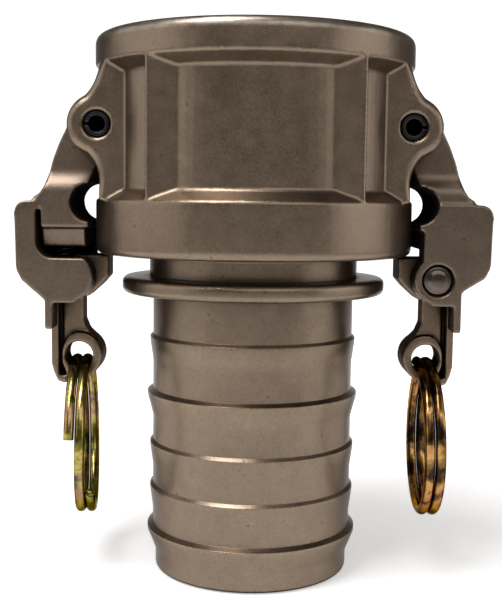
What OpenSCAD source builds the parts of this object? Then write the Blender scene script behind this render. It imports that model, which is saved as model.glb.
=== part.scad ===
// Camlock coupling, type C: a cast stainless female coupler with a hose shank,
// two self-locking cam arms and a split pull ring on each latch lever.
// Millimetres. Z is up through the bore, the shank stands on Z 0, the arms lie along X
// and the panel side faces -Y. The arms are drawn closed and latched.

/* [Socket] */
// Bore of the lower socket that the adapter slides into
socket_bore = 63.8; // [60:0.1:68]
// Extra diameter of the turned mouth above the cam windows
mouth_step = 2; // [1.5:0.1:2.6]
// Wall left at the waist between the flange and the rim
waist_wall = 4.2; // [3.5:0.1:6]
// How far the rim and the flange stand out from the waist
rim_step = 3.9; // [2.5:0.1:5]
// Height of the straight rim at the mouth
rim_height = 7.5; // [5:0.1:10]
// Height of the waist between its two cones
waist_height = 27.8; // [26:0.1:32]
// Height of each cone between the waist and the rim or flange
cone_height = 2.6; // [2:0.1:4]
// Height of the flange under the waist
flange_height = 13.3; // [12:0.1:16]
// Thickness of the socket floor under the gasket
floor_thickness = 4.2; // [3:0.1:6]

/* [Gasket] */
// Outside diameter of the gasket
gasket_diameter = 66.4; // [65.5:0.1:68]
// Width of the gasket from its opening to its outer edge
gasket_width = 7.8; // [6:0.1:9]
// Thickness of the gasket
gasket_thickness = 6.3; // [5:0.1:7]

/* [Hose shank] */
// Length of the shank below the collar
shank_length = 71.3; // [64:0.1:80]
// Bore through the shank
hose_bore = 44; // [40:0.1:45]
// Extra diameter of the throat above the shank
throat_step = 2; // [1:0.1:4]
// Diameter between the barbs
root_diameter = 51.2; // [50:0.1:52]
// Diameter over the second and the last barb
tall_barb_diameter = 54; // [53:0.1:56]
// Diameter over the other barbs
low_barb_diameter = 52.7; // [52:0.1:53]
// Diameter of the collar
collar_diameter = 66.8; // [62:0.1:72]
// Thickness of the collar
collar_thickness = 4.2; // [3:0.1:6]
// Height of the neck between the collar and the flange
neck_height = 5.6; // [4.5:0.1:8]

/* [Ears and arm pins] */
// Width across each pair of ears
ears_width = 37; // [35:0.1:40]
// Gap between the ears of a pair
ear_gap = 21.2; // [20:0.1:24]
// Radius of the ear round its pin
ear_radius = 7.4; // [6.8:0.1:8.5]
// Rounding along the outer edge of an ear
ear_rounding = 2.1; // [1:0.1:2.4]
// Diameter of the slotted arm pin
arm_pin_diameter = 6.4; // [5.5:0.1:7]

/* [Cam arms] */
// Side clearance of the cam between its ears
cam_side_clearance = 0.35; // [0.25:0.05:0.6]
// How far the closed cam reaches into the bore
cam_reach = 4; // [3:0.1:4.6]
// Width across the two cheeks
cheek_width = 26; // [25:0.1:30]
// How far the wing of the arm stands out from the flange
wing_reach = 18.7; // [17.5:0.1:20]
// Width of the slot that the latch lever swings in
slot_width = 10.6; // [9.5:0.1:12]

/* [Latch] */
// Diameter of the latch pin
latch_pin_diameter = 5; // [4:0.1:5.4]
// Running clearance on the radius round each pin
running_clearance = 0.06; // [0.04:0.01:0.08]
// Gap between the latch nose and the flange it sits under
nose_gap = 0.5; // [0.3:0.05:0.8]
// Wire of the latch spring
spring_wire = 0.8; // [0.7:0.05:0.9]
// Turns of the latch spring
spring_turns = 6; // [5:1:7]

/* [Pull rings] */
// Diameter over the split ring
ring_diameter = 41.4; // [40:0.1:46]
// Wire of the split ring
ring_wire = 2.4; // [2.1:0.1:2.6]
// Gap between the two turns of the ring
ring_gap = 0.5; // [0.45:0.05:0.7]

/* [Hidden] */
$fn = 96;
tiny = 0.01;

// How far a cut runs past the face that it opens, and a reach that clears the whole arm
past = 1;
clear = 40;

// Radii and levels of the body
socket_radius = socket_bore / 2;
mouth_radius = socket_radius + mouth_step / 2;
waist_radius = socket_radius + waist_wall;
rim_radius = waist_radius + rim_step;
collar_top = shank_length + collar_thickness;
flange_bottom = collar_top + neck_height;
flange_top = flange_bottom + flange_height;
waist_bottom = flange_top + cone_height;
waist_top = waist_bottom + waist_height;
rim_bottom = waist_top + cone_height;
height = rim_bottom + rim_height;
floor_level = flange_bottom + floor_thickness;
groove_clearance = 0.1;
groove_top = floor_level + gasket_thickness + 2 * groove_clearance;

// Waist ribs: a slab with flat fronts joins the rim to the flange beside each panel
rib_side_inset = 14.9;
rib_front_inset = 8.6;
rib_half_width = rim_radius - rib_side_inset;
rib_half_depth = rim_radius - rib_front_inset;

// Arm pivot, and the window that the cam turns in
pivot_offset = [1.6, 18];
pivot = [waist_radius, flange_top] + pivot_offset;
ear_half = ears_width / 2;
gap_half = ear_gap / 2;
arm_pin_radius = arm_pin_diameter / 2;
cam_half = gap_half - cam_side_clearance;
cam_gap = 0.4;
cam_taper = 0.2;
cam_drop = 1.3;
window_clearance = 0.6;
cam_base_radius = pivot.x - socket_radius - cam_gap;
cam_tip_radius = cam_base_radius - cam_taper;
cam_tip = [socket_radius - cam_reach + cam_tip_radius, pivot.y - cam_drop];
cam_sweep = norm(cam_tip - pivot) + cam_tip_radius + window_clearance;

// Latch pivot, hung from the arm beside the lower edge of the flange
latch_offset = [5.45, -5.7];
latch = [rim_radius, flange_bottom] + latch_offset;
latch_pin_radius = latch_pin_diameter / 2;
cheek_half = cheek_width / 2;
slot_half = slot_width / 2;
boss_radius = 5.9;
hub_radius = boss_radius - 0.3;
slot_top = latch.y + 7.4;
spine = latch.x + 6.85;
wing = rim_radius + wing_reach;
wing_top = flange_top - 0.3;
scallop = [rim_radius + 0.4, flange_top - 0.6];
scallop_radius = 4.7;
inner_edge = rim_radius + 1.65;
cheek_bottom = latch.y - 6.3;
prong_end = latch.y - 12.9;
prong = [rim_radius + 9.4, rim_radius + 11.4];

// Window in the cheek away from the pin head, and the block that shows in it
window_edge = spine + 1.1;
window_bottom = latch.y + 4.7;
ledge = wing_top - 6.6;
block_inset = 1.4;
block_slope = 1.8;

// Latch pin head in its recess
recess_radius = 4;
recess_depth = 1.7;
head_radius = 3.85;
blind_wall = 2.6;
pin_end_gap = 0.3;
pin_slack = 0.02;

// Latch lever
lever_half = slot_half - 0.4;
web_half = lever_half * 0.62;
nose_top = flange_bottom - nose_gap;
tail = [rim_radius + 3.1, rim_radius + 11.2];
eye_offset = [4.2, -20.5];
eye = [rim_radius, latch.y] + eye_offset;
eye_slack = 0.9;
eye_hole_radius = ring_wire + ring_gap / 2 + eye_slack;
eye_radius = eye_hole_radius + 2.35;
rib_width = 1.9;

// Latch spring, pressed between a pocket in the arm and a flat on the lever hub
spring_place = latch.x + 3;
hub_flat = latch.y + 4;
spring_radius = 2;
pocket_radius = spring_radius + spring_wire / 2 + 0.35;
pocket_top = slot_top + 6.5;
spring_seat = 0.3;

// Split ring, hung through the eye
ring_radius = (ring_diameter - ring_wire) / 2;
ring_pitch = ring_wire + ring_gap;
ring_drop = eye_slack;
ring_centre = [eye.x, eye.y - ring_drop - ring_radius];
ring_rings = 24;
ring_steps = 44;

// Plain helpers

// A flat outline in X and Z, as thick as from y0 to y1
module slab(y0, y1) {
    translate([0, y1, 0])
        rotate([90, 0, 0])
            linear_extrude(y1 - y0)
                children();
}

// A turned shape on an axis along Y through a point in X and Z, profile in radius and Y
module turned(centre) {
    translate([centre.x, 0, centre.y])
        rotate([-90, 0, 0])
            rotate_extrude()
                children();
}

// A round bar along Y from y0 to y1
module bar(centre, radius, y0, y1) {
    translate([centre.x, y1, centre.y])
        rotate([90, 0, 0])
            cylinder(r = radius, h = y1 - y0);
}

// Points round an arc, from one angle to another
function arc(centre, radius, from, to, steps = 5) =
    [for (i = [0 : steps])
        let (a = from + (to - from) * i / steps)
        centre + radius * [cos(a), sin(a)]];

function unit(v) = v / norm(v);

// Frame across a path at one point: the way it runs and two directions square to that
function tangent(path, i) =
    unit(path[min(i + 1, len(path) - 1)] - path[max(i - 1, 0)]);

// One unbroken round tube along a path, with a side direction that never runs along it
module tube(path, radius, side, sides = 6) {
    count = len(path);
    points = [for (i = [0 : count - 1])
        let (t = tangent(path, i), u = unit(side - (side * t) * t), v = cross(t, u))
        for (k = [0 : sides - 1])
            path[i] + radius * (cos(360 * k / sides) * u + sin(360 * k / sides) * v)];
    walls = [for (i = [0 : count - 2], k = [0 : sides - 1])
        let (a = i * sides + k, b = i * sides + (k + 1) % sides)
        each [[a, b + sides, b], [a, a + sides, b + sides]]];
    last = (count - 1) * sides;
    caps = [for (k = [1 : sides - 2])
        each [[0, k, k + 1], [last, last + k + 1, last + k]]];
    polyhedron(points, concat(walls, caps));
}

// Least clear gap between turns of a wound path, past the points of its own turn
function least_gap(path, wire, own) =
    min([for (i = [0 : len(path) - 1], j = [i + own : 1 : len(path) - 1])
        norm(path[i] - path[j])]) - wire;

// Coupler body

// Outline of the barbs from the bottom up, each widest at its top edge
barb_levels = [0.152, 0.302, 0.46, 0.645, 0.842] * shank_length;
barb_tall = [true, false, false, true, false];
barb_land = 1;
barb_rise = 0.8;
barb_taper = 0.075 * shank_length;
root_radius = root_diameter / 2;
end_radius = root_radius - 0.7;
end_rounding = 1;

function barb_radius(i) = (barb_tall[i] ? tall_barb_diameter : low_barb_diameter) / 2;

function barb_points() =
    [for (i = [0 : len(barb_levels) - 1])
        each [
            [i == 0 ? end_radius : root_radius, barb_levels[i] - barb_taper - barb_land],
            [barb_radius(i), barb_levels[i] - barb_land],
            [barb_radius(i), barb_levels[i]],
            [root_radius, barb_levels[i] + barb_rise]]];

collar_radius = collar_diameter / 2;
collar_rounding = 1.5;
neck_radius = root_radius + 0.9;
flange_rounding = 1.8;
rim_rounding = 2.3;
mouth_chamfer = 1.2;
bore_chamfer = 0.4;

function body_outline() = concat(
    [[0, 0]],
    arc([end_radius - end_rounding, end_rounding], end_rounding, -90, 0),
    barb_points(),
    [[root_radius, shank_length]],
    arc([collar_radius - collar_rounding, shank_length + collar_rounding], collar_rounding, -90, 0),
    arc([collar_radius - collar_rounding, collar_top - collar_rounding], collar_rounding, 0, 90),
    [[neck_radius, collar_top], [neck_radius, flange_bottom]],
    arc([rim_radius - flange_rounding, flange_bottom + flange_rounding], flange_rounding, -90, 0),
    [[rim_radius, flange_top], [waist_radius, waist_bottom],
        [waist_radius, waist_top], [rim_radius, rim_bottom]],
    arc([rim_radius - rim_rounding, height - rim_rounding], rim_rounding, 0, 90),
    [[0, height]]);

// Everything that is bored out, from the hose end to the mouth
window_top = pivot.y + cam_sweep;
groove_radius = gasket_diameter / 2 + groove_clearance;
throat_radius = (hose_bore + throat_step) / 2;

function bore_outline() = [
    [0, -past],
    [hose_bore / 2 + bore_chamfer + past, -past],
    [hose_bore / 2, bore_chamfer],
    [hose_bore / 2, shank_length - throat_step],
    [throat_radius, shank_length],
    [throat_radius, floor_level],
    [groove_radius, floor_level],
    [groove_radius, groove_top],
    [socket_radius, groove_top],
    [socket_radius, window_top],
    [mouth_radius, window_top],
    [mouth_radius, height - mouth_chamfer],
    [mouth_radius + mouth_chamfer + past, height + past],
    [0, height + past]];

// One pair of ears beside +X: a rounded lobe on each side of the gap and the web behind it
ear_upper_fillet = 12;
ear_lower_fillet = 9;
ear_upper_line = waist_radius + 1.2;
ear_lower_line = waist_radius + 1.2;
web_root = socket_radius - 6;

// Centre of a fillet that touches a line along Z and cuts a little into the lobe, above or below the pin
ear_bite = 0.35;

function ear_fillet(line, radius, side) =
    let (x = line + radius, reach = ear_radius + radius - ear_bite)
    [x, pivot.y + side * sqrt(pow(reach, 2) - pow(x - pivot.x, 2))];

function on_lobe(centre) = pivot + ear_radius * unit(centre - pivot);

module ear_lobe_profile() {
    difference() {
        translate([0, -ear_half])
            square([ear_radius, 2 * ear_half]);
        for (side = [-1, 1])
            difference() {
                translate([ear_radius - ear_rounding, side > 0 ? ear_half - ear_rounding : -ear_half])
                    square(ear_rounding);
                translate([ear_radius - ear_rounding, side * (ear_half - ear_rounding)])
                    circle(ear_rounding);
            }
    }
}

// Cuts a hollow fillet whose edges on the outer faces of the ears are rounded
module ear_fillet_profile(radius) {
    translate([0, -ear_half - past])
        square([radius, 2 * (ear_half + past)]);
    for (side = [-1, 1])
        difference() {
            translate([radius - tiny, side > 0 ? ear_half - ear_rounding : -ear_half - past])
                square([ear_rounding + tiny, ear_rounding + past]);
            translate([radius + ear_rounding, side * (ear_half - ear_rounding)])
                circle(ear_rounding);
        }
}

// The shoulder where the ears run out into the rim, as its step from the rim and its height
shoulder = [1.6, 4];

module shoulder_outline() {
    wide = pivot.x + ear_radius + past;
    low = rim_bottom - shoulder.y;
    polygon([
        [0, flange_top], [wide, flange_top], [wide, low],
        [rim_radius + shoulder.x, low], [rim_radius, rim_bottom], [0, rim_bottom]]);
}

module ears() {
    upper = ear_fillet(ear_upper_line, ear_upper_fillet, 1);
    lower = ear_fillet(ear_lower_line, ear_lower_fillet, -1);
    turned(pivot)
        ear_lobe_profile();
    difference() {
        intersection() {
            slab(-ear_half, ear_half)
                polygon([
                    [web_root, flange_top - past], [ear_lower_line, flange_top - past],
                    [ear_lower_line, lower.y], on_lobe(lower), pivot, on_lobe(upper),
                    [ear_upper_line, upper.y], [ear_upper_line, height], [web_root, height]]);
            rotate_extrude()
                shoulder_outline();
        }
        turned(upper)
            ear_fillet_profile(ear_upper_fillet);
        turned(lower)
            ear_fillet_profile(ear_lower_fillet);
    }
}

// The gap between the ears, and the window through the wall that the cam turns in
gap_lintel = 0.5;

module arm_gap() {
    slab(-gap_half, gap_half) {
        translate([web_root - past, pivot.y - cam_sweep])
            square([clear, 2 * cam_sweep]);
        translate([waist_radius, waist_bottom])
            square([clear, waist_height - gap_lintel]);
    }
}

module arm_pin_holes() {
    hole = arm_pin_radius + pin_slack;
    chamfer = 0.5;
    bar(pivot, hole, -ear_half - past, ear_half + past);
    turned(pivot)
        for (side = [-1, 1])
            polygon([
                [0, side * (ear_half + past)], [hole + chamfer + past, side * (ear_half + past)],
                [hole, side * (ear_half - chamfer)], [0, side * (ear_half - chamfer)]]);
}

module coupler_body() {
    color("#8c7a67")
        difference() {
            union() {
                rotate_extrude()
                    polygon(body_outline());
                intersection() {
                    cylinder(r = rim_radius, h = height - rim_height);
                    translate([-rib_half_width, -rib_half_depth, flange_top - past])
                        cube([2 * rib_half_width, 2 * rib_half_depth, rim_bottom - flange_top + 2 * past]);
                }
                for (turn = [0, 180])
                    rotate([0, 0, turn])
                        ears();
            }
            rotate_extrude()
                polygon(bore_outline());
            for (turn = [0, 180])
                rotate([0, 0, turn]) {
                    arm_gap();
                    arm_pin_holes();
                }
        }
}

// Gasket: a flat rubber ring with rounded edges, held in the groove over the floor
gasket_rounding = 1;

module gasket() {
    low = floor_level + groove_clearance;
    outer = gasket_diameter / 2;
    inner = outer - gasket_width;
    top = low + gasket_thickness;
    color("#1d1d1d")
        rotate_extrude()
            polygon(concat(
                [[inner, low], [outer, low]],
                arc([outer - gasket_rounding, top - gasket_rounding], gasket_rounding, 0, 90),
                arc([inner + gasket_rounding, top - gasket_rounding], gasket_rounding, 90, 180)));
}

// Arm pin: a slotted spring pin pressed into both ears
module arm_pin() {
    inset = 0.4;
    wall = 1.15;
    slot = 0.9;
    chamfer = 0.4;
    end = ear_half - inset;
    color("#3a3a3c")
        difference() {
            turned(pivot)
                polygon([
                    [arm_pin_radius - wall, -end], [arm_pin_radius - chamfer, -end],
                    [arm_pin_radius, -end + chamfer], [arm_pin_radius, end - chamfer],
                    [arm_pin_radius - chamfer, end], [arm_pin_radius - wall, end]]);
            slab(-ear_half, ear_half)
                translate(pivot + [0, -slot / 2])
                    square([arm_pin_radius + past, slot]);
        }
}

// Cam arm: cam and neck between the ears, flared to a block with two cheeks round the latch

module cam_outline() {
    across = unit(cam_tip - pivot);
    square_to = [-across.y, across.x];
    translate(pivot)
        circle(cam_base_radius);
    translate(cam_tip)
        circle(cam_tip_radius);
    polygon([
        pivot + cam_base_radius * square_to, cam_tip + cam_tip_radius * square_to,
        cam_tip - cam_tip_radius * square_to, pivot - cam_base_radius * square_to]);
}

// The neck from the pivot: where it leaves the cam, its curved back and the foot of its front
neck_from = 75;
neck_to = 250;
neck_back = [
    [5.7, 3.7], [8.3, 0], [10.3, -4.1], [11.8, -8],
    [12.8, -11.7], [13.7, -14.6], [14.8, -16.4], [16.4, -17.4]];
neck_front = [0.9, -9.2];
neck_sunk = 2;

module neck_outline() {
    low = wing_top - neck_sunk;
    polygon(concat(
        [pivot + cam_base_radius * [cos(neck_from), sin(neck_from)]],
        [for (point = neck_back) pivot + point],
        [[pivot.x + neck_back[len(neck_back) - 1].x, low], [scallop.x + scallop_radius - past, low],
            scallop, [scallop.x, scallop.y + scallop_radius], pivot + neck_front,
            pivot + cam_base_radius * [cos(neck_to), sin(neck_to)]]));
}

// Half the arm seen from its end: narrow between the ears, flared down to the block
flare_top = wing_top + 8.1;
flare_turn = 40;
flare_half = cheek_half - 0.5;
flare_radius = (flare_half - cam_half) / (1 - cos(flare_turn)) / 2;
flare_foot = flare_top - 2 * flare_radius * sin(flare_turn);

module flare_profile() {
    straight = 4;
    half = concat(
        [[cam_half, flare_top + clear]],
        arc([cam_half + flare_radius, flare_top], flare_radius, 180, 180 + flare_turn),
        arc([flare_half - flare_radius, flare_foot], flare_radius, flare_turn - straight, 0),
        [[flare_half, wing_top - neck_sunk - past]]);
    polygon(concat(half, [for (i = [len(half) - 1 : -1 : 0]) [-half[i].x, half[i].y]]));
}

// Outline of the cheek with the pin head: wing, boss and the prong beside the latch tail
wing_rounding = 3;
lip = [1.2, 0.4];
wing_foot = [[-0.4, 3.3], [-1.7, 0.7]];
spine_foot = 3.4;
prong_shoulder = 4.2;
boss_run = 1.5;

// The lower edge of a cheek hangs lower on the hook than on the cheek with the pin head
full_sag = -1.2;
hook_sag = 1.5;

module cheek_outline(sag = full_sag) {
    difference() {
        union() {
            polygon(concat(
                [[inner_edge, latch.y], [inner_edge, ledge], [inner_edge - lip.x, ledge + lip.y],
                    [inner_edge - lip.x, scallop.y], [inner_edge, wing_top]],
                arc([wing - wing_rounding, wing_top - wing_rounding], wing_rounding, 90, 0),
                [for (point = wing_foot) [wing, latch.y - max(sag, 0)] + point],
                [[spine, latch.y - spine_foot - sag], [prong[1], latch.y - prong_shoulder - sag],
                    [prong[1], cheek_bottom], [latch.x - boss_run, cheek_bottom]]));
            translate([prong[0], prong_end])
                square([prong[1] - prong[0], latch.y - prong_end]);
            translate(latch)
                circle(boss_radius);
        }
        translate(scallop)
            circle(scallop_radius);
    }
}

// Outline of the bridge between the cheeks: the block over the slot and the wing outside it
bridge_foot = 6;

module bridge_outline() {
    difference() {
        cheek_outline();
        translate([spine - clear, prong_end - past])
            square([clear, slot_top - prong_end + past]);
        translate([spine - past, prong_end - past])
            square([clear, latch.y - bridge_foot - prong_end + past]);
    }
}

// The other cheek is a hook with a window over it
window_rounding = 4;

module window_outline() {
    polygon(concat(
        [[window_edge - clear, window_bottom]],
        arc([window_edge - window_rounding, window_bottom + window_rounding], window_rounding, -90, 0),
        [[window_edge, wing_top + past], [window_edge - clear, wing_top + past]]));
}

module block_outline(low, high) {
    intersection() {
        cheek_outline();
        translate([spine - clear, low])
            square([clear, high - low]);
    }
}

// The lower part of the block leans in under the ledge
module block_profile() {
    face = flare_half - block_inset;
    polygon([
        [0, slot_top - past], [face - block_slope, slot_top - past], [face, ledge],
        [face, ledge + past], [0, ledge + past]]);
}

module cam_arm() {
    color("#86735f")
        difference() {
            union() {
                intersection() {
                    slab(-flare_half, flare_half) {
                        difference() {
                            neck_outline();
                            translate(scallop)
                                circle(scallop_radius);
                        }
                        cam_outline();
                    }
                    rotate([90, 0, 90])
                        linear_extrude(wing)
                            flare_profile();
                }
                slab(-slot_half, slot_half)
                    bridge_outline();
                slab(-cheek_half, -slot_half)
                    cheek_outline();
                slab(slot_half, cheek_half)
                    difference() {
                        cheek_outline(hook_sag);
                        window_outline();
                    }
                slab(slot_half - tiny, flare_half)
                    block_outline(ledge, wing_top);
                intersection() {
                    slab(slot_half - tiny, flare_half)
                        block_outline(slot_top, ledge + tiny);
                    rotate([90, 0, 90])
                        linear_extrude(wing)
                            block_profile();
                }
            }
            bar(pivot, arm_pin_radius + running_clearance, -cam_half - past, cam_half + past);
            bar(latch, latch_pin_radius + pin_slack, -cheek_half - past, cheek_half - blind_wall);
            bar(latch, recess_radius, -cheek_half - past, -cheek_half + recess_depth);
            translate([spring_place, 0, slot_top - past])
                cylinder(r = pocket_radius, h = pocket_top - slot_top + past);
        }
}

// Latch pin: a domed head in its recess and a shank through lever and cheeks
module latch_pin() {
    seat = -cheek_half + recess_depth;
    dome = 1.4;
    dome_radius = (pow(head_radius, 2) + pow(dome, 2)) / (2 * dome);
    color("#75685c")
        union() {
            bar(latch, latch_pin_radius, seat - tiny, cheek_half - blind_wall - pin_end_gap);
            turned(latch)
                intersection() {
                    translate([0, seat - dome])
                        square([head_radius, dome]);
                    translate([0, seat - dome + dome_radius])
                        circle(dome_radius);
                }
        }
}

// Latch spring: a small wound spring, its top end in the arm and its foot on the lever hub
spring_low = hub_flat + spring_wire / 2 + spring_seat;
spring_high = pocket_top - spring_wire / 2 - spring_seat;

function spring_path() = [for (i = [0 : 8 * spring_turns])
    let (a = 45 * i)
    [spring_radius * cos(a), spring_radius * sin(a),
        spring_low + (spring_high - spring_low) * i / (8 * spring_turns)]];

// Adds a straight run of one wire at both ends of a wound path
function with_straight_ends(path, wire) =
    let (last = len(path) - 1)
    concat(
        [path[0] + wire * unit(path[0] - path[1])],
        path,
        [path[last] + wire * unit(path[last] - path[last - 1])]);

module latch_spring() {
    color("#9a9a98")
        translate([spring_place, 0, 0])
            tube(with_straight_ends(spring_path(), spring_wire), spring_wire / 2, [0, 0, 1]);
}

// Latch lever: nose under the flange, hub on the latch pin, ribbed tail and ring eye.
// The nose is measured from the rim and the latch pin, the neck of the tail from its inner
// edge, its back from its outer edge and its foot from the eye.
nose = [[-3.4, -0.2], [-1.6, -2.3], [1.8, -5.4]];
nose_root = [-1, -4];
tail_neck = [[0, -4], [0, -11.5], [-1, -13.9], [-3, -15.9]];
tail_back = [[0, -7.3], [-1.4, -3.9]];
tail_heel = [[-0.6, -4.4], [0, -2]];
eye_sides = [1.2, -2];
tail_foot = [[3.6, -7.2], [5.4, -6.6]];
rib_start = 5;
rib_fillet = 4;
foot_split = 3;
foot_rise = 2;

module lever_outline() {
    translate(latch)
        circle(hub_radius);
    polygon(concat(
        [[rim_radius + nose[0].x, nose_top]],
        [for (point = nose) [rim_radius, latch.y] + point],
        [latch + nose_root, [latch.x, nose_top]]));
}

module tail_outline() {
    polygon(concat(
        [for (point = tail_neck) [tail[0], latch.y] + point],
        [eye + [-eye_radius, eye_sides[0]],
            eye + [eye_sides[1], -sqrt(pow(eye_radius, 2) - pow(eye_sides[1], 2))]],
        [for (point = tail_foot) eye + point],
        [for (point = tail_heel) [tail[1], eye.y] + point],
        [for (point = tail_back) [tail[1], latch.y] + point]));
    translate(eye)
        circle(eye_radius);
}

module tail_rib_outline() {
    difference() {
        tail_outline();
        translate([tail[1] - rib_width - clear, eye.y - rib_start])
            square(clear);
        translate([eye.x + foot_split - clear, eye.y + foot_rise - clear])
            square(clear);
        translate([tail[1] - rib_width - rib_fillet, eye.y - foot_rise])
            circle(rib_fillet);
    }
}

module latch_lever() {
    color("#7d6b59")
        difference() {
            union() {
                slab(-lever_half, lever_half) {
                    difference() {
                        lever_outline();
                        translate([latch.x, hub_flat])
                            square(clear);
                    }
                    tail_rib_outline();
                    translate(eye)
                        circle(eye_radius);
                }
                slab(-web_half, web_half)
                    tail_outline();
            }
            bar(latch, latch_pin_radius + running_clearance, -lever_half - past, lever_half + past);
            bar(eye, eye_hole_radius, -lever_half - past, lever_half + past);
        }
}

// Pull ring: nearly two turns of wire side by side, wound round an axis along X. The two
// strands lie evenly in the eye, and the wire steps inwards or outwards from its start.
function ring_path(start, step) = [for (i = [0 : ring_steps])
    let (a = start + 360 * i / ring_rings)
    [step * ring_pitch * ((a - 90) / 360 - 0.5),
        ring_radius * cos(a),
        ring_centre.y + ring_radius * sin(a)]];

module pull_ring(start, step, yaw) {
    color("#b89a4a")
        translate([ring_centre.x, 0, 0])
            rotate([0, 0, yaw])
                tube(with_straight_ends(ring_path(start, step), ring_wire), ring_wire / 2, [1, 0, 0]);
}

echo(least_gap_in_ring = least_gap(ring_path(0, 1), ring_wire, 20));
echo(least_gap_in_spring = least_gap(spring_path(), spring_wire, 6));

// The arm on -X is the same assembly turned half round the bore
module on_left() {
    rotate([0, 0, 180])
        children();
}

outwards = 1;
inwards = -1;
ring_start_right = 94;
ring_start_left = 14;
ring_yaw_right = 0;
ring_yaw_left = 4.5;

module right_arm_pin() { arm_pin(); }
module right_cam_arm() { cam_arm(); }
module right_latch_pin() { latch_pin(); }
module right_latch_spring() { latch_spring(); }
module right_latch_lever() { latch_lever(); }
module right_pull_ring() { pull_ring(ring_start_right, outwards, ring_yaw_right); }
module left_arm_pin() { on_left() arm_pin(); }
module left_cam_arm() { on_left() cam_arm(); }
module left_latch_pin() { on_left() latch_pin(); }
module left_latch_spring() { on_left() latch_spring(); }
module left_latch_lever() { on_left() latch_lever(); }
module left_pull_ring() { on_left() pull_ring(ring_start_left, inwards, ring_yaw_left); }

coupler_body();
gasket();
right_arm_pin();
right_cam_arm();
right_latch_pin();
right_latch_spring();
right_latch_lever();
right_pull_ring();
left_arm_pin();
left_cam_arm();
left_latch_pin();
left_latch_spring();
left_latch_lever();
left_pull_ring();
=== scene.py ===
import math

import bmesh
import bpy
import numpy as np
from mathutils import Matrix, Vector


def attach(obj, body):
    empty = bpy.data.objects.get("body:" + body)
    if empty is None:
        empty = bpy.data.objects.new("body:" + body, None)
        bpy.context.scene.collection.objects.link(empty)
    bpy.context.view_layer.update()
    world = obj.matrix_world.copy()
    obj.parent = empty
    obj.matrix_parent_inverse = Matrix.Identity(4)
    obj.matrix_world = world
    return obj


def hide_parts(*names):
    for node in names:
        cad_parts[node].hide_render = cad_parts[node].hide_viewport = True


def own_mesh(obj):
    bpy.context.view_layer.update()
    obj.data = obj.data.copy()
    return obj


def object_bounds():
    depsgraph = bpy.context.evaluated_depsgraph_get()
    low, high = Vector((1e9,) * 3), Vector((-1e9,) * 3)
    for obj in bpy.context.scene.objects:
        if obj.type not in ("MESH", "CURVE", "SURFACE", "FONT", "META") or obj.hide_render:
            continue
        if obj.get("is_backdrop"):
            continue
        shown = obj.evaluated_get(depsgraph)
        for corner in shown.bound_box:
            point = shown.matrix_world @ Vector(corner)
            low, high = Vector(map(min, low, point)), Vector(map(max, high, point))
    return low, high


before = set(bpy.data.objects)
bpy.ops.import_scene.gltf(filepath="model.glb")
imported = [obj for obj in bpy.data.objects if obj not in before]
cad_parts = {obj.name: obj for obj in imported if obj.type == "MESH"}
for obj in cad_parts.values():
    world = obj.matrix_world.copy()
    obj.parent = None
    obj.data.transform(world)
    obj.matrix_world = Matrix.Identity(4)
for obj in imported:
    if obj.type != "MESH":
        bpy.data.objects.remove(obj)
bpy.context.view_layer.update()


# Coupler body: one stainless casting with the socket, the ears and the barbed hose shank.
# Its shank is turned, then it is blasted with beads to a matte grey-brown skin and tumbled, so its
# cast edges are soft and a little brighter, partly from wear and partly as a painted highlight. Inside
# corners and gaps get painted shade. The socket and the sealing floor are turned after that.

def plain_group(name, inputs, outputs):
    """An empty node group with named sockets, and the nodes of its inputs and its outputs."""
    tree = bpy.data.node_groups.new(name, "ShaderNodeTree")
    for label, kind, value in inputs:
        socket = tree.interface.new_socket(label, in_out="INPUT", socket_type="NodeSocket" + kind)
        socket.default_value = value
    for label, kind in outputs:
        tree.interface.new_socket(label, in_out="OUTPUT", socket_type="NodeSocket" + kind)
    return tree, tree.nodes.new("NodeGroupInput"), tree.nodes.new("NodeGroupOutput")


def node(tree, kind, settings=None, **sockets):
    """Adds a node. A socket's value is a number, a colour, or another node's output to join."""
    made = tree.nodes.new("ShaderNode" + kind)
    for key, value in (settings or {}).items():
        setattr(made, key, value)
    for key, value in sockets.items():
        place = int(key[1:]) if key[0] == "i" and key[1:].isdigit() else key.replace("_", " ")
        if isinstance(value, bpy.types.NodeSocket):
            tree.links.new(value, made.inputs[place])
        else:
            made.inputs[place].default_value = value
    return made


def reckon(tree, operation, first, second):
    """The result of one operation on two values."""
    return node(tree, "Math", {"operation": operation}, i0=first, i1=second).outputs[0]


def sum_of(tree, first, *terms):
    """first plus each (amount, socket) pair, as a chain of multiply-add nodes."""
    total = first
    for amount, socket in terms:
        total = node(tree, "Math", {"operation": "MULTIPLY_ADD"}, i0=socket, i1=amount, i2=total).outputs[0]
    return total


def eased(tree, value, start, end, low=0.0, high=1.0):
    """Goes smoothly from low to high while the value goes from start to end."""
    return node(tree, "MapRange", {"interpolation_type": "SMOOTHSTEP"}, Value=value,
                i1=start, i2=end, i3=low, i4=high).outputs[0]


def tinted(tree, factor, first, second):
    """The first colour where the factor is 0, the second where it is 1."""
    return node(tree, "Mix", {"data_type": "RGBA"}, Factor=factor, i6=first, i7=second).outputs[2]


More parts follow.
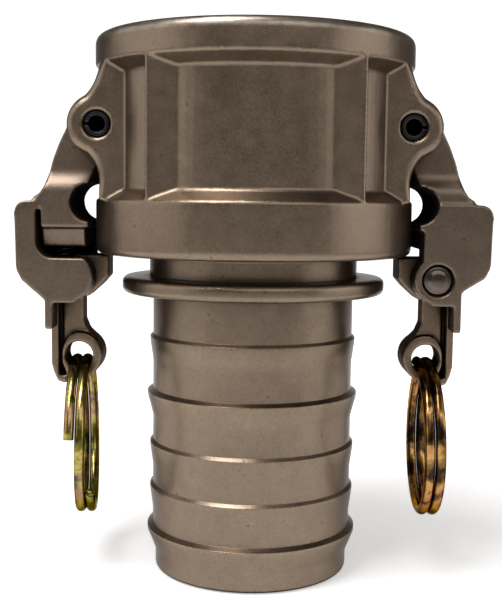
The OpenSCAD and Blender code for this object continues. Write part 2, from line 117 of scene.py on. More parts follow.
def blasted_casting():
    """Skin of a bead-blasted casting: broad stains, mottling, fine grain and a few pits, edges lightened
    partly as wear and partly as a painted highlight, and painted shade in inside corners and gaps.
    """
    tree, given, made = plain_group(
        "blasted casting",
        [("Dark", "Color", (0.1, 0.1, 0.1, 1)), ("Light", "Color", (0.3, 0.3, 0.3, 1)),
         ("Roughness", "Float", 0.45), ("Edge", "Float", 0.0), ("Crevice", "Float", 0.0),
         ("Grime", "Float", 0.0)],
        [("Color", "Color"), ("Roughness", "Float"), ("Height", "Float"), ("Film", "Float")])
    edge, corner_shade, gap_shade = (given.outputs[n] for n in ("Edge", "Crevice", "Grime"))
    place = node(tree, "TexCoord").outputs["Object"]
    stain = node(tree, "TexNoise", Vector=place, Scale=38.0, Detail=3.0, Roughness=0.55).outputs[0]
    mottle = node(tree, "TexNoise", Vector=place, Scale=260.0, Detail=4.0, Roughness=0.6).outputs[0]
    grain = node(tree, "TexNoise", Vector=place, Scale=2100.0, Detail=2.0, Roughness=0.7).outputs[0]
    pit = node(tree, "TexVoronoi", {"feature": "F1"}, Vector=place, Scale=420.0, Randomness=1.0).outputs[0]
    pit = eased(tree, pit, 0.10, 0.24, 1.0, 0.0)
    where = node(tree, "MapRange", Value=mottle, i1=0.52, i2=0.66).outputs[0]
    pit = reckon(tree, "MULTIPLY", pit, where)
    tone = sum_of(tree, -0.47, (0.5, stain), (0.55, mottle), (0.95, grain))
    # Lighter at standing edges, partly as wear and partly as a painted highlight; darker in inside corners as
    # painted shade, and in pits.
    tone = sum_of(tree, tone, (0.55, edge), (-0.5, corner_shade), (-0.5, pit))
    colour = tinted(tree, tone, given.outputs["Dark"], given.outputs["Light"])
    # Painted shade: faces in gaps and hollows are darkened to near black.
    shade_amount = reckon(tree, "MULTIPLY", gap_shade, 0.9)
    colour = tinted(tree, shade_amount, colour, (0.012, 0.009, 0.008, 1))
    rough = sum_of(tree, given.outputs["Roughness"], (0.16, grain), (0.12, mottle),
                   (-0.16, edge), (0.12, corner_shade), (0.5, gap_shade))
    rough = node(tree, "Math", {"operation": "SUBTRACT", "use_clamp": True}, i0=rough, i1=0.14).outputs[0]
    height = sum_of(tree, 0.0, (0.5, grain), (0.9, mottle), (-0.7, pit))
    film = sum_of(tree, 0.6, (-0.6, gap_shade), (-0.25, corner_shade), (-0.25, pit))
    film = reckon(tree, "MAXIMUM", film, 0.0)
    tree.links.new(colour, made.inputs["Color"])
    tree.links.new(rough, made.inputs["Roughness"])
    tree.links.new(height, made.inputs["Height"])
    tree.links.new(film, made.inputs["Film"])
    return tree


def wear_and_shade_masks():
    """Masks from the shape: standing corners, lightened partly as wear and partly as a painted highlight, and
    inside corners and gaps, for painted shade.
    """
    tree, given, made = plain_group(
        "wear and painted shade masks",
        [("Edge width", "Float", 0.0012), ("Crevice width", "Float", 0.004), ("Gap width", "Float", 0.012)],
        [("Edge", "Float"), ("Crevice", "Float"), ("Grime", "Float")])
    inside = node(tree, "AmbientOcclusion", {"samples": 6, "inside": True, "only_local": True},
                  Distance=given.outputs["Edge width"]).outputs["AO"]
    outside = node(tree, "AmbientOcclusion", {"samples": 6, "only_local": True},
                   Distance=given.outputs["Crevice width"]).outputs["AO"]
    around = node(tree, "AmbientOcclusion", {"samples": 8}, Distance=given.outputs["Gap width"]).outputs["AO"]
    # Standing corners, lightened partly as wear and partly as a painted highlight.
    edge = node(tree, "MapRange", Value=inside, i1=1.0, i2=0.35).outputs[0]
    # Inside corners, which get painted shade.
    corner_shade = node(tree, "MapRange", Value=outside, i1=0.85, i2=0.2).outputs[0]
    # Faces near other faces, of this piece or another, which get painted shade.
    gap_shade = eased(tree, around, 0.66, 0.3)
    tree.links.new(edge, made.inputs["Edge"])
    tree.links.new(corner_shade, made.inputs["Crevice"])
    tree.links.new(gap_shade, made.inputs["Grime"])
    return tree


def turned_face():
    """Fine tool rings of a lathe round the Z axis, and where they lie: in the socket and at its mouth."""
    tree, given, made = plain_group(
        "turned face", [("Radius", "Float", 0.034), ("Low", "Float", 0.08), ("Mouth", "Float", 0.13)],
        [("Mask", "Float"), ("Rings", "Float")])
    place = node(tree, "TexCoord").outputs["Object"]
    split = node(tree, "SeparateXYZ", Vector=place)
    level = split.outputs[2]
    flat = node(tree, "CombineXYZ", X=split.outputs[0], Y=split.outputs[1])
    radius = node(tree, "VectorMath", {"operation": "LENGTH"}, i0=flat.outputs[0]).outputs["Value"]
    reach = reckon(tree, "ADD", given.outputs["Radius"], 0.0004)
    inner = node(tree, "MapRange", Value=radius, i1=given.outputs["Radius"], i2=reach,
                 i3=1.0, i4=0.0).outputs[0]
    above = reckon(tree, "GREATER_THAN", level, given.outputs["Low"])
    socket = reckon(tree, "MULTIPLY", inner, above)
    ragged = node(tree, "TexNoise", Vector=place, Scale=700.0, Detail=3.0, Roughness=0.7).outputs[0]
    ragged = sum_of(tree, level, (0.0016, ragged))
    ragged = reckon(tree, "SUBTRACT", ragged, given.outputs["Mouth"])
    mouth = eased(tree, ragged, 0.0005, 0.0012)
    rubbed = node(tree, "TexNoise", Vector=place, Scale=130.0, Detail=4.0, Roughness=0.65).outputs[0]
    rubbed = node(tree, "MapRange", Value=rubbed, i1=0.4, i2=0.62, i3=0.25, i4=0.85).outputs[0]
    mouth = reckon(tree, "MULTIPLY", mouth, rubbed)
    along = reckon(tree, "ADD", level, radius)
    rings = node(tree, "TexNoise", {"noise_dimensions": "1D"}, W=along, Scale=2600.0, Detail=2.0).outputs[0]
    tree.links.new(reckon(tree, "MAXIMUM", socket, mouth), made.inputs["Mask"])
    tree.links.new(rings, made.inputs["Rings"])
    return tree


casting_skin, wear_and_shade_group, lathe_rings = blasted_casting(), wear_and_shade_masks(), turned_face()


def plain_material(name):
    """A new material, with its node tree and its shader."""
    material = bpy.data.materials.new(name)
    material.use_nodes = True
    return material, material.node_tree, material.node_tree.nodes["Principled BSDF"]


def lay_on(tree, shader, colour, rough, bump):
    """Joins the colour, the roughness and the bump of a finish to its shader."""
    tree.links.new(colour, shader.inputs["Base Color"])
    tree.links.new(rough, shader.inputs["Roughness"])
    tree.links.new(bump.outputs[0], shader.inputs["Normal"])


def cast_material(name, dark, light, roughness, round_edge, shade_reach, glance, turned=None, filmed=True):
    """A cast stainless finish, with edges lightened partly as wear and partly as a painted highlight, and
    painted shade in inside corners and gaps. The gap width, given just before glance, is how far the painted
    shade in gaps reaches, glance how bright the metal stays where it is seen edge on, and turned gives the
    radius, the floor and the mouth of the faces cut on a lathe."""
    material, tree, shader = plain_material(name)
    shader.inputs["Metallic"].default_value = 1.0
    shader.inputs["Specular Tint"].default_value = (glance, 0.94 * glance, 0.88 * glance, 1)
    shader.inputs["Coat Roughness"].default_value = roughness
    wear_and_shade = node(tree, "Group", {"node_tree": wear_and_shade_group}, Gap_width=shade_reach)
    skin = node(tree, "Group", {"node_tree": casting_skin}, Dark=dark, Light=light, Roughness=roughness,
                Edge=wear_and_shade.outputs["Edge"], Crevice=wear_and_shade.outputs["Crevice"], Grime=wear_and_shade.outputs["Grime"])
    colour, rough, height = (skin.outputs[n] for n in ("Color", "Roughness", "Height"))
    soft = node(tree, "Bevel", {"samples": 6}, Radius=round_edge)
    if turned:
        radius, floor, mouth = turned
        cut = node(tree, "Group", {"node_tree": lathe_rings}, Radius=radius, Low=floor, Mouth=mouth)
        mask, rings = cut.outputs["Mask"], cut.outputs["Rings"]
        bright = tinted(tree, rings, (0.22, 0.19, 0.16, 1), (0.4, 0.355, 0.305, 1))
        colour = tinted(tree, mask, colour, bright)
        rough = node(tree, "Mix", Factor=mask, i2=rough, i3=0.32).outputs[0]
        height = node(tree, "Mix", Factor=mask, i2=height, i3=rings).outputs[0]
        crisp_below, soft_above, crisp_edge = 0.062, 0.066, 0.4 * round_edge
        level = node(tree, "SeparateXYZ", Vector=node(tree, "TexCoord").outputs["Object"]).outputs[2]
        crisp = node(tree, "MapRange", Value=level, i1=crisp_below, i2=soft_above,
                     i3=crisp_edge, i4=round_edge)
        tree.links.new(crisp.outputs[0], soft.inputs["Radius"])
    bump = node(tree, "Bump", Strength=0.35, Distance=0.00012, Height=height, Normal=soft.outputs[0])
    lay_on(tree, shader, colour, rough, bump)
    if filmed:
        tree.links.new(skin.outputs["Film"], shader.inputs["Coat Weight"])
    return material


def placed(name, data):
    """A new object in the scene, made from a mesh, a lamp or a camera."""
    made = bpy.data.objects.new(name, data)
    bpy.context.scene.collection.objects.link(made)
    return made


def baked(piece):
    """Puts the result of a piece's modifiers into its mesh, with normals that keep flat faces flat."""
    flats = piece.modifiers.new("flats", "WEIGHTED_NORMAL")
    flats.keep_sharp = True
    made = bpy.data.meshes.new_from_object(piece.evaluated_get(bpy.context.evaluated_depsgraph_get()))
    piece.modifiers.clear()
    piece.data = made
    made.materials.clear()


def softened(name, source, grain, passes, share, cutters=()):
    """A copy of a CAD piece as a tumbled casting: one closed skin with every edge and corner rounded.
    grain is the size of the remesh, passes how often it is smoothed, share how many faces are kept."""
    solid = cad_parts[source]
    mesh = solid.data.copy()
    mesh.transform(solid.matrix_world)
    piece = placed(name, mesh)
    whole = bmesh.new()
    whole.from_mesh(mesh)
    bmesh.ops.remove_doubles(whole, verts=whole.verts, dist=1e-6)
    whole.to_mesh(mesh)
    whole.free()
    for cutter in cutters:
        groove = piece.modifiers.new("groove", "BOOLEAN")
        groove.operation, groove.solver, groove.object = "DIFFERENCE", "EXACT", cutter
    skin = piece.modifiers.new("skin", "REMESH")
    skin.mode = "VOXEL"
    skin.voxel_size = grain
    skin.use_smooth_shade = True
    tumbled = piece.modifiers.new("tumbled", "SMOOTH")
    tumbled.factor = 0.5
    tumbled.iterations = passes
    thinned = piece.modifiers.new("thinned", "DECIMATE")
    thinned.ratio = share
    baked(piece)
    return piece


def keep_turned_foot(piece, source, level, seam):
    """Gives a softened piece back the crisp foot of its CAD piece, with a seam just over the level."""
    joined = bmesh.new()
    for mesh, cut, up in ((piece.data, level + seam, True), (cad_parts[source].data, level, False)):
        half = bmesh.new()
        half.from_mesh(mesh)
        bmesh.ops.remove_doubles(half, verts=half.verts, dist=1e-6)
        bmesh.ops.bisect_plane(half, geom=half.verts[:] + half.edges[:] + half.faces[:], dist=1e-7,
                               plane_co=(0, 0, cut), plane_no=(0, 0, 1), clear_inner=up, clear_outer=not up)
        part = bpy.data.meshes.new("half")
        half.to_mesh(part)
        half.free()
        joined.from_mesh(part)
        bpy.data.meshes.remove(part)
    rims = [edge for edge in joined.edges if edge.is_boundary]
    reach = [sum(math.hypot(v.co.x, v.co.y) for v in edge.verts) / 2 for edge in rims]
    middle = (min(reach) + max(reach)) / 2
    for outside in (True, False):
        bmesh.ops.bridge_loops(joined, edges=[e for e, r in zip(rims, reach) if (r > middle) == outside])
    bmesh.ops.recalc_face_normals(joined, faces=joined.faces)
    crease, just_below = math.radians(25), level - 1e-5
    for edge in joined.edges:
        low = max(v.co.z for v in edge.verts) < just_below
        edge.smooth = not (low and edge.calc_face_angle(0) > crease)
    for face in joined.faces:
        face.smooth = True
    mesh = bpy.data.meshes.new(piece.name)
    joined.to_mesh(mesh)
    joined.free()
    piece.data = mesh
    baked(piece)


body_finish = cast_material(
    "blasted body casting", dark=(0.108, 0.0755, 0.054, 1), light=(0.26, 0.191, 0.129, 1),
    roughness=0.33, round_edge=0.0007, shade_reach=0.003, glance=0.22, turned=(0.0345, 0.0845, 0.1325))
body = softened("body_casting", "coupler_body", grain=0.00042, passes=3, share=0.1)
keep_turned_foot(body, "coupler_body", level=0.0783, seam=0.0003)
body.data.materials.append(body_finish)
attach(body, "coupler")
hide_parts("coupler_body")


# Gasket: a moulded black rubber ring that the adapter is pressed against.
# It lies loose in the groove over the turned floor, held in by its rim.

def gasket_material():
    """Matte black rubber with a pale bloom in patches."""
    material, tree, shader = plain_material("black gasket rubber")
    shader.inputs["Specular IOR Level"].default_value = 0.35
    place = node(tree, "TexCoord").outputs["Object"]
    bloom = node(tree, "TexNoise", Vector=place, Scale=120.0, Detail=4.0).outputs[0]
    fine = node(tree, "TexNoise", Vector=place, Scale=3000.0, Detail=2.0).outputs[0]
    colour = tinted(tree, bloom, (0.008, 0.008, 0.008, 1), (0.03, 0.029, 0.028, 1))
    rough = sum_of(tree, 0.5, (0.2, bloom), (0.1, fine))
    bump = node(tree, "Bump", Strength=0.3, Distance=0.0001, Height=fine)
    lay_on(tree, shader, colour, rough, bump)
    return material


def lathe_mesh(name, outline, steps):
    """A closed ring: an outline of (radius, level) points carried once round the Z axis."""
    points, faces = [], []
    for k in range(steps):
        a = 2 * math.pi * k / steps
        points += [(r * math.cos(a), r * math.sin(a), z) for r, z in outline]
    count = len(outline)
    for k in range(steps):
        here, there = k * count, (k + 1) % steps * count
        for i in range(count):
            j = (i + 1) % count
            faces.append((here + i, there + i, there + j, here + j))
    mesh = bpy.data.meshes.new(name)
    mesh.from_pydata(points, [], faces)
    joined = bmesh.new()
    joined.from_mesh(mesh)
    bmesh.ops.remove_doubles(joined, verts=joined.verts, dist=1e-7)
    joined.to_mesh(mesh)
    joined.free()
    mesh.shade_smooth()
    mesh.set_sharp_from_angle(angle=math.radians(35))
    return placed(name, mesh)


def rounded(corners, radii, steps):
    """An outline whose corners are rounded, each by its own radius."""
    made = []
    for i, radius in enumerate(radii):
        here = Vector(corners[i])
        back = (Vector(corners[i - 1]) - here).normalized()
        ahead = (Vector(corners[(i + 1) % len(corners)]) - here).normalized()
        half = math.acos(max(-1.0, min(1.0, back.dot(ahead)))) / 2
        reach = radius / math.tan(half)
        for k in range(steps + 1):
            t = k / steps
            made.append(tuple(here + back * reach * (1 - t) ** 2 + ahead * reach * t ** 2))
    return made


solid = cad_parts["gasket"].data.vertices
levels = [v.co.z for v in solid]
spans = [math.hypot(v.co.x, v.co.y) for v in solid]
low, high, inner, outer = min(levels), max(levels), min(spans), max(spans)
lip, dish, seam = 0.0016, 0.0005, 0.00025
edge_round, lip_round, seam_round = 0.0007, 0.0003, 0.0001
middle = (low + high) / 2
gasket_corners = [
    (inner + seam, low), (outer - seam, low),
    (outer - seam, middle - seam), (outer, middle), (outer - seam, middle + seam),
    (outer - seam, high),
    (outer - lip, high), (outer - lip - dish, high - dish),
    (inner + lip + dish, high - dish), (inner + lip, high),
    (inner + seam, high),
    (inner + seam, middle + seam), (inner, middle), (inner + seam, middle - seam)]
gasket_rounds = ([edge_round] * 2 + [seam_round] * 3 + [edge_round] + [lip_round] * 4
                 + [edge_round] + [seam_round] * 3)
gasket = lathe_mesh("moulded_gasket", rounded(gasket_corners, gasket_rounds, steps=3), steps=128)
gasket.data.materials.append(gasket_material())
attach(gasket, "coupler")
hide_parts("gasket")


# Arm pins: slotted spring pins of dark hardened steel, driven through both ears of a pair.
# Each is a rolled tube, so its end shows a hole, blacked out with painted shade, and a bright ground edge,
# lightened partly as a painted highlight.

def steel_material(name, dark, light, roughness, round_edge, shade_reach):
    """Plain drawn or headed steel with a faint mottle, an edge lightened partly by rubbing and partly as a
    painted highlight, and painted shade in gaps and bores.
    """
    material, tree, shader = plain_material(name)
    shader.inputs["Metallic"].default_value = 1.0
    shader.inputs["Specular Tint"].default_value = (0.2, 0.2, 0.21, 1)
    wear_and_shade = node(tree, "Group", {"node_tree": wear_and_shade_group}, Edge_width=0.0005, Gap_width=shade_reach)
    place = node(tree, "TexCoord").outputs["Object"]
    film = node(tree, "TexNoise", Vector=place, Scale=420.0, Detail=4.0, Roughness=0.65).outputs[0]
    # Lighter at the edge, partly as a rubbed edge and partly as a painted highlight.
    tone = sum_of(tree, -0.2, (0.7, film), (0.8, wear_and_shade.outputs["Edge"]))
    colour = tinted(tree, tone, dark, light)
    # Painted shade: gaps and bores are darkened to near black.
    colour = tinted(tree, wear_and_shade.outputs["Grime"], colour, (0.004, 0.004, 0.005, 1))
    rough = sum_of(tree, roughness - 0.1, (0.2, film), (0.5, wear_and_shade.outputs["Grime"]))
    soft = node(tree, "Bevel", {"samples": 4}, Radius=round_edge)
    bump = node(tree, "Bump", Strength=0.2, Distance=0.00006, Height=film, Normal=soft.outputs[0])
    lay_on(tree, shader, colour, rough, bump)
    return material


# The painted shade in gaps darkens the pins inside the ears and blacks out their bores.
arm_pin_finish = steel_material(
    "dark spring pin steel", dark=(0.012, 0.013, 0.016, 1), light=(0.09, 0.092, 0.1, 1),
    roughness=0.34, round_edge=0.0002, shade_reach=0.012)
for side in ("right", "left"):
    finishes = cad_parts[side + "_arm_pin"].data.materials
    finishes.clear()
    finishes.append(arm_pin_finish)


# Cam arms: stainless castings that turn on the arm pins and pull the adapter in with their cams.
# They have the same blasted and tumbled skin as the body, in darker colours, and their painted shade in gaps
# reaches far, so the arms' hollows and the faces inside their cheeks come out dark.

arm_finish = cast_material(
    "blasted arm casting", dark=(0.077, 0.054, 0.039, 1), light=(0.19, 0.139, 0.095, 1),
    roughness=0.39, round_edge=0.0006, shade_reach=0.024, glance=0.15)
for side in ("right", "left"):
    arm = softened(side + "_arm_casting", side + "_cam_arm", grain=0.00036, passes=7, share=0.3)
    arm.data.materials.append(arm_finish)
    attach(arm, side + "_arm")
    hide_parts(side + "_cam_arm")


# Latch pins: short steel pins with a domed head that sits in a recess of the arm's full cheek.
# The head is pressed down with a cup tool, which leaves a shallow ring round its crown.

latch_pin_finish = steel_material(
    "headed latch pin steel", dark=(0.085, 0.068, 0.055, 1), light=(0.3, 0.25, 0.21, 1),
    roughness=0.22, round_edge=0.0002, shade_reach=0.003)
pin_x, pin_level = 0.04545, 0.0754
pin_shank, pin_head, pin_dome, pin_bevel = 0.00248, 0.00385, 0.0014, 0.0003
crown_steps, crown_fall, rim_fall = 16, 0.0007, 0.00045
cup_radius, cup_width, cup_depth = 0.0026, 0.00045, 0.00016
for side, sign in (("right", 1), ("left", -1)):
    along = [sign * v.co.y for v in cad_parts[side + "_latch_pin"].data.vertices]
    seat, tail = min(along) + pin_dome, max(along)
    crown = []
    for k in range(crown_steps + 1):
        r = pin_head * math.sin(math.pi / 2 * k / crown_steps)
        crown.append((r, seat - pin_dome + crown_fall * (r / pin_head) ** 2 + rim_fall * (r / pin_head) ** 12
                      + cup_depth * math.exp(-((r - cup_radius) / cup_width) ** 2)))
    shank = [(pin_head, seat), (pin_shank, seat), (pin_shank, tail - pin_bevel),
             (pin_shank - pin_bevel, tail), (0, tail)]
    pin = lathe_mesh(side + "_headed_pin", crown + shank, steps=64)
    pin.data.transform(Matrix.Rotation(0 if sign > 0 else math.pi, 4, "Z")
                       @ Matrix.Translation((pin_x, 0, pin_level)) @ Matrix.Rotation(-math.pi / 2, 4, "X"))
    pin.data.materials.append(latch_pin_finish)
    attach(pin, side + "_arm")
    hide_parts(side + "_latch_pin")


# Latch springs: small compression springs of drawn wire in a pocket over the lever's hub.
# They hold the latch nose up under the flange. In the real coupling they shorten a little when the ring is
# pulled; here each is a fixed coil that moves with its arm.

def wire_mesh(name, path, radius, sides, side_way):
    """A round wire along a path, with its ends a little rounded off, as one closed mesh."""
    path = np.array(path, float)
    ahead = np.gradient(path, axis=0)
    ahead /= np.linalg.norm(ahead, axis=1)[:, None]
    across = np.array(side_way, float) - (ahead @ np.array(side_way, float))[:, None] * ahead
    across /= np.linalg.norm(across, axis=1)[:, None]
    over = np.cross(ahead, across)
    end_round = [(0.0, 0.86), (0.12, 0.97)]
    first = [(path[0] + ahead[0] * radius * d, w * radius, 0) for d, w in end_round]
    last = [(path[-1] - ahead[-1] * radius * d, w * radius, -1) for d, w in reversed(end_round)]
    rows = first + [(path[i], radius, i) for i in range(1, len(path) - 1)] + last
    angles = np.linspace(0, 2 * math.pi, sides, endpoint=False)
    points = []
    for centre, width, i in rows:
        for a in angles:
            points.append(centre + width * (math.cos(a) * across[i] + math.sin(a) * over[i]))
    faces = []
    for r in range(len(rows) - 1):
        for k in range(sides):
            a, b = r * sides + k, r * sides + (k + 1) % sides
            faces.append((a, b, b + sides, a + sides))
    faces.append(tuple(range(sides))[::-1])
    end = (len(rows) - 1) * sides
    faces.append(tuple(end + k for k in range(sides)))
    mesh = bpy.data.meshes.new(name)
    mesh.from_pydata([tuple(p) for p in points], [], faces)
    mesh.shade_smooth()
    mesh.update()
    return placed(name, mesh)


spring_finish = steel_material(
    "drawn spring wire", dark=(0.16, 0.16, 0.155, 1), light=(0.42, 0.42, 0.41, 1),
    roughness=0.3, round_edge=0.0001, shade_reach=0.003)
spring_turns, turn_steps, spring_radius, spring_wire = 6, 24, 0.002, 0.0008
spring_x, spring_low, spring_high, pocket_top = 0.04845, 0.0801, 0.0886, 0.0893
spring_steps = turn_steps * spring_turns
for side, sign in (("right", 1), ("left", -1)):
    coil = []
    for i in range(spring_steps + 1):
        a = 2 * math.pi * i / turn_steps
        coil.append((sign * (spring_x + spring_radius * math.cos(a)), sign * spring_radius * math.sin(a),
                     spring_low + (spring_high - spring_low) * i / spring_steps))
    spring = wire_mesh(side + "_spring_wire", coil, spring_wire / 2, sides=10, side_way=(0, 0, 1))
    spring.data.materials.append(spring_finish)
    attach(spring, side + "_arm")
    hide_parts(side + "_latch_spring")
    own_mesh(spring)


# Latch levers: small stainless castings with a nose under the flange and an eye for the ring.
# They are blasted like the arms and swing on the latch pins. A narrow groove parts the rib from
# the eye on both faces.

def groove_cutter(name, outline, place, floor, top, sign):
    """A pair of prisms that sink an outline into both faces of a lever, down to the floor."""
    points, faces = [], []
    count = len(outline)
    for near, far in ((floor, top), (-top, -floor)):
        start = len(points)
        for y in (near, far):
            points += [(sign * (place[0] + u), sign * y, place[1] + w) for u, w in outline]
        faces.append(tuple(range(start, start + count)))
        faces.append(tuple(range(start + 2 * count - 1, start + count - 1, -1)))
        for i in range(count):
            j = (i + 1) % count
            faces.append((start + j, start + i, start + count + i, start + count + j))
    mesh = bpy.data.meshes.new(name)
    mesh.from_pydata(points, [], faces)
    even = bmesh.new()
    even.from_mesh(mesh)
    bmesh.ops.recalc_face_normals(even, faces=even.faces)
    even.to_mesh(mesh)
    even.free()
    return placed(name, mesh)


lever_finish = cast_material(
    "blasted lever casting", dark=(0.094, 0.066, 0.048, 1), light=(0.235, 0.172, 0.118, 1),
    roughness=0.35, round_edge=0.0005, shade_reach=0.006, glance=0.12, filmed=False)
eye_x, eye_level = 0.0442, 0.0549
eye_side = [(0.0051, 0.008), (0.0012, 0.008), (0.0010, 0.0064), (0.0022, 0.0052), (0.0033, 0.0037),
            (0.0040, 0.0022), (0.0043, 0.0006), (0.0043, -0.0008), (0.0041, -0.0022), (0.0036, -0.0034),
            (0.0031, -0.0049), (0.0033, -0.0052), (0.0050, -0.0052), (0.0051, -0.003), (0.0051, 0.0)]
rib_side = [(0.0051, 0.015), (0.0041, 0.015), (0.0041, 0.0036)] + eye_side[5:]
web_level, groove_level, over_lever = 0.00305, 0.002, 0.006
for side, sign in (("right", 1), ("left", -1)):
    cutters = [groove_cutter("eye_side", eye_side, (eye_x, eye_level), web_level, over_lever, sign),
               groove_cutter("rib_side", rib_side, (eye_x, eye_level), groove_level, over_lever, sign)]
    lever = softened(side + "_lever_casting", side + "_latch_lever", grain=0.0003, passes=6, share=0.35,
                     cutters=cutters)
    for cutter in cutters:
        bpy.data.objects.remove(cutter)
    lever.data.materials.append(lever_finish)
    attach(lever, side + "_latch")
    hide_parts(side + "_latch_lever")


# Pull rings: nearly two turns of steel wire threaded through the eye of each lever.
# They are zinc plated and passivated yellow, which leaves bands of olive, gold and pink.

def yellow_plating(name, tints, roughness):
    """Passivated zinc: a thin bright film whose colour drifts along the wire, dulled in places, with painted
    shade where the wire lies in a gap.
    """
    material, tree, shader = plain_material(name)
    shader.inputs["Metallic"].default_value = 1.0
    shader.inputs["Specular Tint"].default_value = (0.3, 0.26, 0.16, 1)
    place = node(tree, "TexCoord").outputs["Object"]
    drift = node(tree, "TexNoise", Vector=place, Scale=95.0, Detail=3.0, Roughness=0.6,
                 Distortion=0.6).outputs[0]
    film = node(tree, "TexNoise", Vector=place, Scale=600.0, Detail=3.0).outputs[0]
    shift = sum_of(tree, -0.09, (1.0, drift), (0.18, film))
    ramp = node(tree, "ValToRGB", Fac=shift)
    bands = ramp.color_ramp
    bands.interpolation = "EASE"
    places = (0.34, 0.43, 0.5, 0.58, 0.66)
    while len(bands.elements) < len(places):
        bands.elements.new(0.5)
    for stop, at, tint in zip(bands.elements, places, tints):
        stop.position = at
        stop.color = (*tint, 1)
    wear_and_shade = node(tree, "Group", {"node_tree": wear_and_shade_group}, Edge_width=0.0005, Gap_width=0.009)
    # Painted shade: the wire between its turns and inside the eye is darkened to near black.
    colour = tinted(tree, wear_and_shade.outputs["Grime"], ramp.outputs[0], (0.006, 0.007, 0.006, 1))
    rough = sum_of(tree, roughness, (0.14, film), (0.1, drift), (0.4, wear_and_shade.outputs["Grime"]))
    bump = node(tree, "Bump", Strength=0.15, Distance=0.00005, Height=film)
    lay_on(tree, shader, colour, rough, bump)
    return material


olive = yellow_plating("olive yellow plating", (
    (0.035, 0.045, 0.012), (0.18, 0.16, 0.036), (0.4, 0.315, 0.1), (0.31, 0.19, 0.11),
    (0.06, 0.085, 0.03)), roughness=0.08)
amber = yellow_plating("amber yellow plating", (
    (0.035, 0.021, 0.014), (0.18, 0.1, 0.035), (0.5, 0.28, 0.09), (0.44, 0.19, 0.095),
    (0.075, 0.055, 0.04)), roughness=0.08)
ring_radius, ring_wire, ring_pitch, ring_level = 0.0192, 0.0026, 0.00265, 0.03405
ring_steps, step_angle = 176, 3.75
rings = (("right", 1, 94, 1, 0.0, amber), ("left", -1, 14, -1, 4.5, olive))
for side, sign, start, winding, yaw, plating in rings:
    turn = Matrix.Translation((eye_x, 0, 0)) @ Matrix.Rotation(math.radians(yaw), 4, "Z")
    wound = []
    for i in range(ring_steps + 1):
        a = start + step_angle * i
        wound.append(Vector((winding * ring_pitch * ((a - 90) / 360 - 0.5),
                             ring_radius * math.cos(math.radians(a)),
                             ring_level + ring_radius * math.sin(math.radians(a)))))
    wound = [wound[0] + (wound[0] - wound[1]).normalized() * ring_wire] + wound
    wound = wound + [wound[-1] + (wound[-1] - wound[-2]).normalized() * ring_wire]
    wound = [turn @ p for p in wound]
    wire = wire_mesh(side + "_ring_wire", [(sign * p.x, sign * p.y, p.z) for p in wound], ring_wire / 2,
                     sides=20, side_way=(1, 0, 0))
    wire.data.materials.append(plating)
    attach(wire, side + "_ring")
    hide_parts(side + "_pull_ring")


# Table and backdrop: a white sheet of paper that the coupling stands on, and another far behind it.
# They aren't part of the object. The table glows less near the coupling, so its shadow shows there,
# and both sheets fade out towards their edges.

def paper_material(name, near, far):
    """Matte white paper with a glow that the camera and reflections see, so it shows as white behind the
    coupling:
    near and far are how white it is.
    """
    material, tree, shader = plain_material(name)
    tree.nodes.remove(shader)
    matte = node(tree, "BsdfDiffuse", Color=(0.74, 0.74, 0.74, 1))
    rays = node(tree, "LightPath")
    seen = reckon(tree, "MAXIMUM", rays.outputs["Is Camera Ray"], rays.outputs["Is Glossy Ray"])
    seen = reckon(tree, "MAXIMUM", seen, rays.outputs["Is Transmission Ray"])
    place = node(tree, "TexCoord").outputs["Object"]
    reach = node(tree, "VectorMath", {"operation": "LENGTH"}, i0=place).outputs["Value"]
    white = eased(tree, reach, 0.05, 0.3, near, far)
    split = node(tree, "SeparateXYZ", Vector=place)
    aside = node(tree, "Math", {"operation": "ABSOLUTE"}, i0=split.outputs[0]).outputs[0]
    behind = reckon(tree, "MAXIMUM", split.outputs[1], 0.0)
    aside = sum_of(tree, aside, (-0.27, behind))
    # The glow is dimmed to the sides and in front of the coupling, so the metal reflects a darker floor
    # there.
    pool = eased(tree, aside, 0.1, 0.3, 1.0, 0.3)
    front = eased(tree, split.outputs[1], -0.22, -0.04, 0.15, 1.0)
    for part in (pool, front, seen):
        white = reckon(tree, "MULTIPLY", white, part)
    glow = node(tree, "Emission", Color=(1, 1, 1, 1), Strength=white)
    both = node(tree, "AddShader", i0=matte.outputs[0], i1=glow.outputs[0])
    kept = eased(tree, aside, 0.3, 0.6, 1.0, 0.0)
    for axis, whole, gone in ((1, -0.5, -1.0), (2, 0.9, 1.4)):
        kept = reckon(tree, "MULTIPLY", kept, eased(tree, split.outputs[axis], whole, gone, 1.0, 0.0))
    clear = node(tree, "BsdfTransparent", Color=(1, 1, 1, 1))
    soft = node(tree, "MixShader", i0=kept, i1=clear.outputs[0], i2=both.outputs[0])
    tree.links.new(soft.outputs[0], tree.nodes["Material Output"].inputs["Surface"])
    return material


def paper(name, points, near, far):
    """One flat sheet of paper with these corners."""
    mesh = bpy.data.meshes.new(name)
    mesh.from_pydata(points, [], [tuple(range(len(points)))])
    mesh.materials.append(paper_material("white " + name.replace("_", " "), near, far))
    sheet = placed(name, mesh)
    sheet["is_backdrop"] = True


half_width, table_front, table_back, table_level, backdrop_top = 1.3, -1, 2.4, -0.0002, 1.4
paper("paper_table", [
    (-half_width, table_front, table_level), (half_width, table_front, table_level),
    (half_width, table_back, table_level), (-half_width, table_back, table_level)], near=0.44, far=1.0)
paper("paper_backdrop", [
    (-half_width, table_back, table_level), (half_width, table_back, table_level),
    (half_width, table_back, backdrop_top), (-half_width, table_back, backdrop_top)], near=1.0, far=1.0)


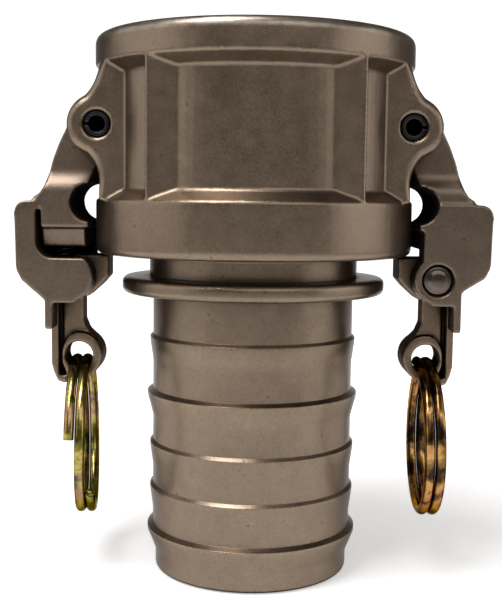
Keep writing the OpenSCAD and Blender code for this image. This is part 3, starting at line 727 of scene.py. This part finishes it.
# Light: a large soft box on the left, a smaller one on the right, a soft one overhead and a wide
# weak one in front, in a room that is evenly grey.

world = bpy.data.worlds.new("studio room")
bpy.context.scene.world = world
world.use_nodes = True
world.node_tree.nodes["Background"].inputs["Color"].default_value = (0.21, 0.195, 0.185, 1)
world.node_tree.nodes["Background"].inputs["Strength"].default_value = 1.0


def soft_box(name, place, aim, width, height, power):
    """A white panel of light at a place, turned towards its aim."""
    lamp = bpy.data.lights.new(name, "AREA")
    lamp.shape = "RECTANGLE"
    lamp.size, lamp.size_y = width, height
    lamp.energy = power
    box = placed(name, lamp)
    box.location = place
    box.rotation_mode = "QUATERNION"
    box.rotation_quaternion = (Vector(aim) - Vector(place)).to_track_quat("-Z", "Y")


soft_box("left soft box", (-0.69, -0.1, 0.3), (0, 0, 0.09), width=0.9, height=0.6, power=1.7)
soft_box("right soft box", (0.68, -0.12, 0.25), (0, 0, 0.09), width=0.6, height=0.5, power=1.2)
soft_box("overhead soft box", (-0.23, -0.24, 0.68), (0, 0, 0.1), width=0.34, height=0.5, power=5.4)
soft_box("front soft box", (0.2, -0.6, 0.5), (0, 0, 0.1), width=0.8, height=0.3, power=1.2)


# Camera: close in front of the panel side, above the middle of the coupling and looking a little down.
# It stands on an orbit round the bore, and is panned and rolled by less than a degree.

orbit, camera_back, camera_level = -0.5, 0.2738, 0.0954
camera_pan, camera_dip, camera_roll = 0.1, 5.713, 0.64
camera_data = bpy.data.cameras.new("camera")
camera_data.sensor_width = 36.0
camera_data.lens = 63.06
camera_data.clip_start, camera_data.clip_end = 0.01, 20.0
camera = placed("camera", camera_data)
camera.matrix_world = (
    Matrix.Rotation(math.radians(orbit), 4, "Z")
    @ Matrix.Translation((0, -camera_back, camera_level))
    @ Matrix.Rotation(math.radians(camera_pan), 4, "Z")
    @ Matrix.Rotation(math.radians(90 - camera_dip), 4, "X")
    @ Matrix.Rotation(math.radians(camera_roll), 4, "Z"))
bpy.context.scene.camera = camera
bpy.context.scene.view_settings.view_transform = "Standard"

low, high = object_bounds()
